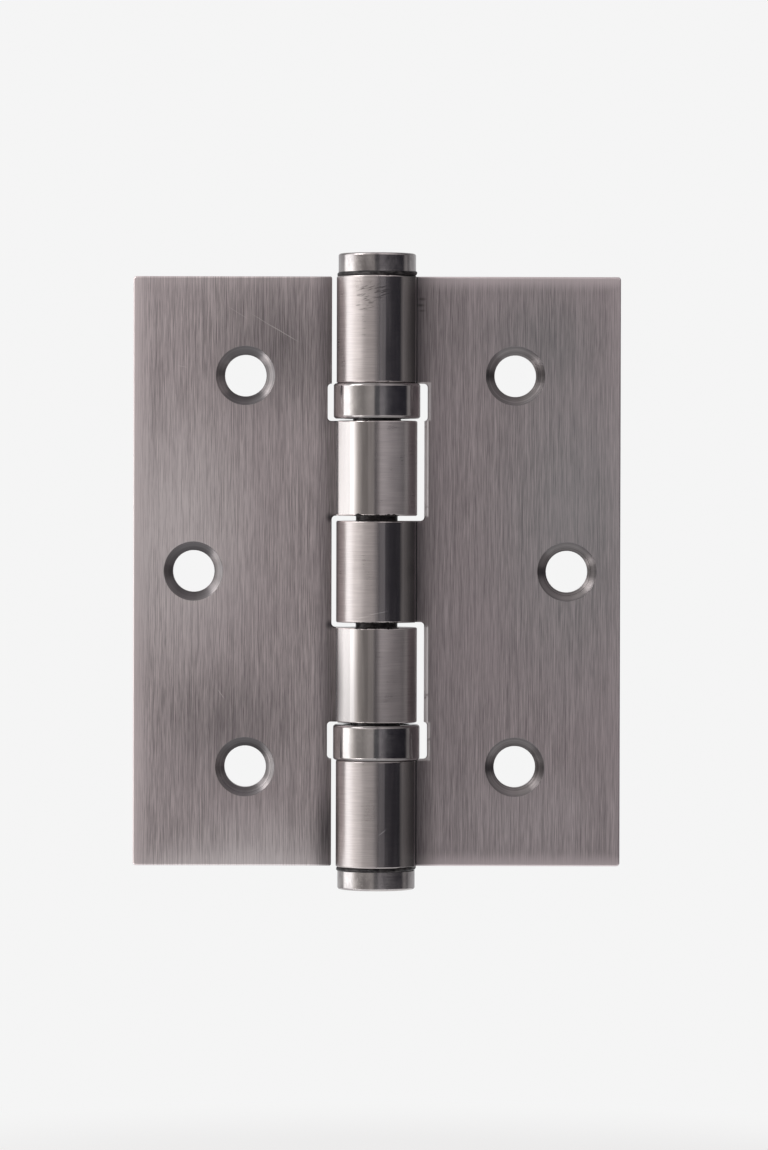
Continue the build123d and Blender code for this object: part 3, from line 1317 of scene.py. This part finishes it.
@dataclass
class Studio:
    """The camera, the surroundings, the floor and the lamps, in millimetres and degrees.

    level_tones: What surrounds the hinge at its own height, by the angle round it. 0 is towards the camera.
    raised_tones: What surrounds it further up and down.
    raised_span: Between which heights, as a sine, the one gives way to the other.
    """

    distance: float = 700.0
    elevation: float = 0.8
    frame_height: float = 148.7
    sensor: float = 36.0
    clip: Span = (10.0, 20000.0)
    aim: Place = (0.95, 1.0, -0.46)
    roll: float = 0.13
    floor_z: float = -81.1
    floor_radius: float = 120.0
    floor_corners: int = 96
    floor_fade: Span = (0.45, 0.95)
    floor_glow: float = 0.75
    background: Colour = (0.912, 0.912, 0.912)
    level_tones: tuple[Tone, ...] = (
        (-180.0, (0.60, 0.60, 0.61)),
        (-150.0, (0.55, 0.55, 0.555)),
        (-124.0, (0.50, 0.49, 0.49)),
        (-116.0, (0.42, 0.41, 0.41)),
        (-109.0, (1.85, 1.86, 1.86)),
        (-80.0, (1.85, 1.86, 1.86)),
        (-72.0, (1.10, 1.07, 1.04)),
        (-63.0, (0.56, 0.535, 0.515)),
        (-52.0, (0.28, 0.265, 0.255)),
        (-36.0, (0.20, 0.189, 0.183)),
        (-20.0, (0.30, 0.284, 0.275)),
        (-8.0, (0.30, 0.284, 0.277)),
        (-5.5, (0.075, 0.076, 0.082)),
        (5.5, (0.075, 0.076, 0.082)),
        (9.5, (0.20, 0.194, 0.206)),
        (20.0, (0.15, 0.147, 0.16)),
        (30.0, (0.055, 0.055, 0.065)),
        (42.0, (0.022, 0.022, 0.030)),
        (84.0, (0.024, 0.024, 0.031)),
        (91.0, (0.26, 0.25, 0.25)),
        (99.0, (0.26, 0.25, 0.25)),
        (107.0, (0.12, 0.118, 0.122)),
        (114.0, (0.34, 0.335, 0.34)),
        (150.0, (0.50, 0.50, 0.505)),
        (180.0, (0.60, 0.60, 0.61)),
    )
    raised_tones: tuple[Tone, ...] = (
        (-180.0, (0.60, 0.59, 0.59)),
        (-125.0, (0.28, 0.27, 0.27)),
        (-116.0, (0.28, 0.27, 0.27)),
        (-106.0, (1.25, 1.23, 1.22)),
        (-80.0, (1.35, 1.33, 1.32)),
        (-62.0, (0.95, 0.92, 0.90)),
        (-38.0, (0.88, 0.84, 0.825)),
        (-12.0, (0.66, 0.62, 0.617)),
        (0.0, (0.43, 0.405, 0.41)),
        (12.0, (0.90, 0.85, 0.855)),
        (30.0, (0.92, 0.87, 0.875)),
        (48.0, (0.66, 0.62, 0.628)),
        (85.0, (0.46, 0.435, 0.437)),
        (100.0, (0.10, 0.097, 0.10)),
        (125.0, (0.20, 0.195, 0.20)),
        (180.0, (0.60, 0.59, 0.59)),
    )
    raised_span: Span = (0.07, 0.30)
    softboxes: tuple[Softbox, ...] = (
        Softbox("upper_left_softbox", (-260.0, -150.0, 190.0)),
        Softbox("lower_left_softbox", (-250.0, -150.0, -200.0)),
    )

    def build(self) -> None:
        """Make the whole studio."""
        self._camera()
        self._world()
        self._floor()
        for softbox in self.softboxes:
            softbox.build()
        bpy.context.scene.view_settings.view_transform = "Standard"

    def _camera(self) -> None:
        """Set the camera at the photograph's view."""
        data = bpy.data.cameras.new("camera")
        data.sensor_fit = "VERTICAL"
        data.sensor_height = self.sensor
        data.lens = self.sensor * self.distance / self.frame_height
        data.clip_start, data.clip_end = (MM * reach for reach in self.clip)
        camera = bpy.data.objects.new("camera", data)
        bpy.context.scene.collection.objects.link(camera)
        rise = math.radians(self.elevation)
        away = Vector((0.0, -math.cos(rise), math.sin(rise))) * self.distance
        tilt = Matrix.Rotation(math.radians(90.0) - rise, 4, "X")
        roll = Matrix.Rotation(math.radians(self.roll), 4, "Z")
        camera.matrix_world = Matrix.Translation((Vector(self.aim) + away) * MM) @ tilt @ roll
        bpy.context.scene.camera = camera
        LOG.info("camera %.0f mm away, lens %.1f mm", self.distance, data.lens)

    def _world(self) -> None:
        """Surround the hinge with the tones of the studio, and show a pale ground to the camera."""
        world = bpy.data.worlds.new("studio")
        world.use_nodes = True
        bpy.context.scene.world = world
        graph = Graph(world.node_tree)
        direction = graph.node("ShaderNodeTexCoord").outputs["Generated"]
        x, y, z = (Signal(graph, s) for s in graph.node("ShaderNodeSeparateXYZ", {}, {0: direction}).outputs)
        turn = x.math("ARCTAN2", -y) / (2.0 * math.pi) + 0.5
        level, raised = (self._ring(graph, turn, tones) for tones in (self.level_tones, self.raised_tones))
        colour = graph.blend(abs(z).step(*self.raised_span), level, raised)
        seen, light = (
            graph.node("ShaderNodeBackground", {}, {"Color": tone, "Strength": 1.0}).outputs[0]
            for tone in (self.background, colour)
        )
        path = graph.node("ShaderNodeLightPath")
        surface = graph.join(path.outputs["Is Camera Ray"], light, seen)
        graph.node("ShaderNodeOutputWorld", {}, {"Surface": surface})

    @staticmethod
    def _ring(graph: Graph, turn: Signal, tones: tuple[Tone, ...]) -> Socket:
        """Spread tones round the horizon.

        Args:
            graph: The world's graph.
            turn: Where on the horizon, from 0 to 1, with 0.5 towards the camera.
            tones: Pairs of angle in degrees and colour.

        Returns:
            The tone.
        """
        stops = [((angle + 180.0) / 360.0, colour) for angle, colour in tones]
        return graph.node("ShaderNodeValToRGB", {"stops": stops}, {0: turn}).outputs[0]

    def _floor_finish(self) -> bpy.types.Material:
        """Make the pale finish, which keeps the shadow and fades into the ground towards its rim.

        Returns:
            The material.
        """
        material, graph = new_material("pale_floor")
        path = graph.node("ShaderNodeLightPath")
        kinds = ("Is Camera Ray", "Is Glossy Ray", "Is Transmission Ray")
        camera, glossy, through = (Signal(graph, path.outputs[kind]) for kind in kinds)
        direct = camera.math("MAXIMUM", glossy).math("MAXIMUM", through)
        x, y, _ = graph.axes()
        rim = ((x * x + y * y) ** 0.5).step(*(share * self.floor_radius for share in self.floor_fade))
        glow_share = self.floor_glow + (1.0 - self.floor_glow) * rim
        surface = graph.node("ShaderNodeBsdfDiffuse", {}, {"Color": self.background}).outputs[0]
        glow = graph.node("ShaderNodeEmission", {}, {"Color": self.background, "Strength": 1.0}).outputs[0]
        close_material(graph, graph.join(direct * glow_share, surface, glow))
        return material

    def _floor(self) -> None:
        """Lay the floor."""
        shape = bmesh.new()
        radius, drop = MM * self.floor_radius, (0.0, 0.0, MM * self.floor_z)
        bmesh.ops.create_circle(shape, cap_ends=True, radius=radius, segments=self.floor_corners)
        bmesh.ops.translate(shape, verts=shape.verts, vec=drop)
        mesh = bpy.data.meshes.new("floor")
        shape.to_mesh(mesh)
        shape.free()
        mesh.materials.append(self._floor_finish())
        floor = bpy.data.objects.new("floor", mesh)
        bpy.context.scene.collection.objects.link(floor)


def frame_finish() -> BrushedNickel:
    """Give the frame leaf's finish and wear.

    Returns:
        The finish.
    """
    return BrushedNickel(
        Side.FRAME,
        brightness=1.2,
        # Painted shade beside the barrel.
        barrel_side_shade=0.42,
        outer_lift=0.25,
        end_lift=0.9,
        burr=1.0,
        roll_depth=0.12,
        # Less painted shade on the frame leaf's countersink walls, and their metal made darker all over.
        sinks=Countersinks(wall_shade=0.25, brightness=0.66),
        scuffs=(
            Scuff((-0.6, 35.9), (2.4, 1.5), 17.0, 3.0),
            Scuff((-1.6, 34.2), (1.5, 0.8), 8.0, 8.0, 0.6),
        ),
        light_lines=(
            Scratch((-1.4, -5.6), (2.1, -4.9), 0.12, 0.7),
            Scratch((0.2, -33.9), (1.5, -32.9), 0.12, 0.8),
            Scratch((-2.4, -5.9), (-0.8, -5.7), 0.1, 0.6),
        ),
        # Painted shade at the top right and beside the barrel, a cooler tint on the outer part, painted light
        # along the bottom, and small dark rubs by the top knuckle.
        shades=(
            Shade((21.0, 30.0), (12.0, 10.0), 0.24, (0.09, 0.15, 0.15)),
            Shade((25.5, 7.0), (15.0, 32.0), 0.18, (0.32, 0.45, 0.44)),
            Shade((20.0, -32.0), (16.0, 9.0), 0.22, (0.92, 0.86, 0.88)),
            Shade((9.5, 30.0), (4.0, 10.0), 0.15),
            Shade((5.8, 35.2), (0.8, 0.3), 0.6),
            Shade((5.6, 34.4), (0.8, 0.3), 0.7),
            Shade((5.8, 33.7), (0.7, 0.25), 0.5),
        ),
        # Painted shade on the smooth side of the middle and bottom knuckles.
        barrel_shades=(
            Shade((2.8, 0.0), (3.4, 16.0), 0.28),
            Shade((2.3, -32.0), (5.0, 16.0), 0.28),
        ),
    )


def door_finish() -> BrushedNickel:
    """Give the door leaf's finish and wear.

    Returns:
        The finish.
    """
    return BrushedNickel(
        Side.DOOR,
        light=(0.602, 0.544, 0.547),
        dark=(0.241, 0.214, 0.220),
        # Painted light: the door leaf is made lighter all over than the frame leaf.
        brightness=1.42,
        stroke_span=0.095,
        inner_shade=0.15,
        roll_depth=0.3,
        notch_edge=5.85,
        end_lift=0.25,
        # A painted highlight on the curl beside the leaf.
        tip_painted_tone=(0.94, 0.92, 0.91),
        light_lines=(
            Scratch((-14.3, 32.1), (-9.9, 29.5), 0.12, 0.5),
            Scratch((-16.6, 33.5), (-12.6, 31.0), 0.1, 0.35),
            Scratch((-19.6, 34.4), (-16.4, 32.4), 0.1, 0.3),
            Scratch((-20.6, -15.2), (-19.6, -16.6), 0.12, 0.6),
            Scratch((-26.0, 26.6), (-24.4, 26.3), 0.1, 0.4),
        ),
        # Painted shade at the top, lower down and beside the barrel, painted light at mid-height on the outer
        # side and along the bottom, and small dark marks at the notch corners.
        shades=(
            Shade((-12.5, 29.0), (13.0, 13.0), 0.46),
            Shade((-26.5, 5.0), (15.0, 24.0), 0.8, (0.92, 0.86, 0.86)),
            Shade((-18.5, -20.0), (13.0, 11.0), 0.34),
            Shade((-15.0, -41.0), (21.0, 13.0), 0.85, (0.95, 0.90, 0.90)),
            Shade((-19.5, -39.6), (18.0, 5.0), 0.8, (0.97, 0.92, 0.92)),
            Shade((-6.2, -34.0), (3.0, 8.0), 0.75),
            Shade((-6.1, 7.0), (0.7, 0.9), 0.9),
            Shade((-6.1, -6.9), (0.7, 0.9), 0.9),
        ),
        # Painted light on the upper knuckle, and painted shade on the lower knuckle and along the edges of
        # both.
        barrel_shades=(
            Shade((3.2, 15.5), (3.4, 14.0), 0.32, (0.97, 0.93, 0.93)),
            Shade((0.9, -20.0), (3.4, 15.0), 0.34),
            Shade((4.9, -16.0), (1.3, 16.0), 0.5),
            Shade((4.9, 15.5), (1.1, 14.0), 0.35),
            Shade((-5.1, -15.5), (1.1, 14.0), 0.8),
            Shade((-3.3, -19.0), (1.8, 14.0), 0.3),
        ),
    )


def main() -> None:
    """Build the hinge's looks and its studio in order."""
    logging.basicConfig(level=logging.INFO, format="%(name)s: %(message)s")
    Leaf("frame_leaf", frame_finish(), 17.9, 24.6).build()
    Leaf("door_leaf", door_finish(), 17.0, 23.7).build()
    # The torn edges' dark steel also stands in for the shade in the gaps between knuckles.
    torn = DarkSteel("torn_edge_steel", (0.06, 0.055, 0.055), (0.015, 0.014, 0.015), 0.5).material()
    for edge in (
        TornEdge("knuckle_2_torn_edge", "door_side", 7.2, 1.0, 1.3, height=0.28),
        TornEdge("knuckle_3_upper_torn_edge", "frame_side", 6.55, -1.0, 4.1, height=0.1),
        TornEdge("knuckle_3_lower_torn_edge", "frame_side", -6.55, 1.0, 7.7, height=0.14),
        TornEdge("knuckle_4_torn_edge", "door_side", -7.2, -1.0, 9.2, height=0.2),
    ):
        edge.build(torn)
    Bearings().build()
    PinSet().build()
    Studio().build()


if __name__ == "__main__":
    main()
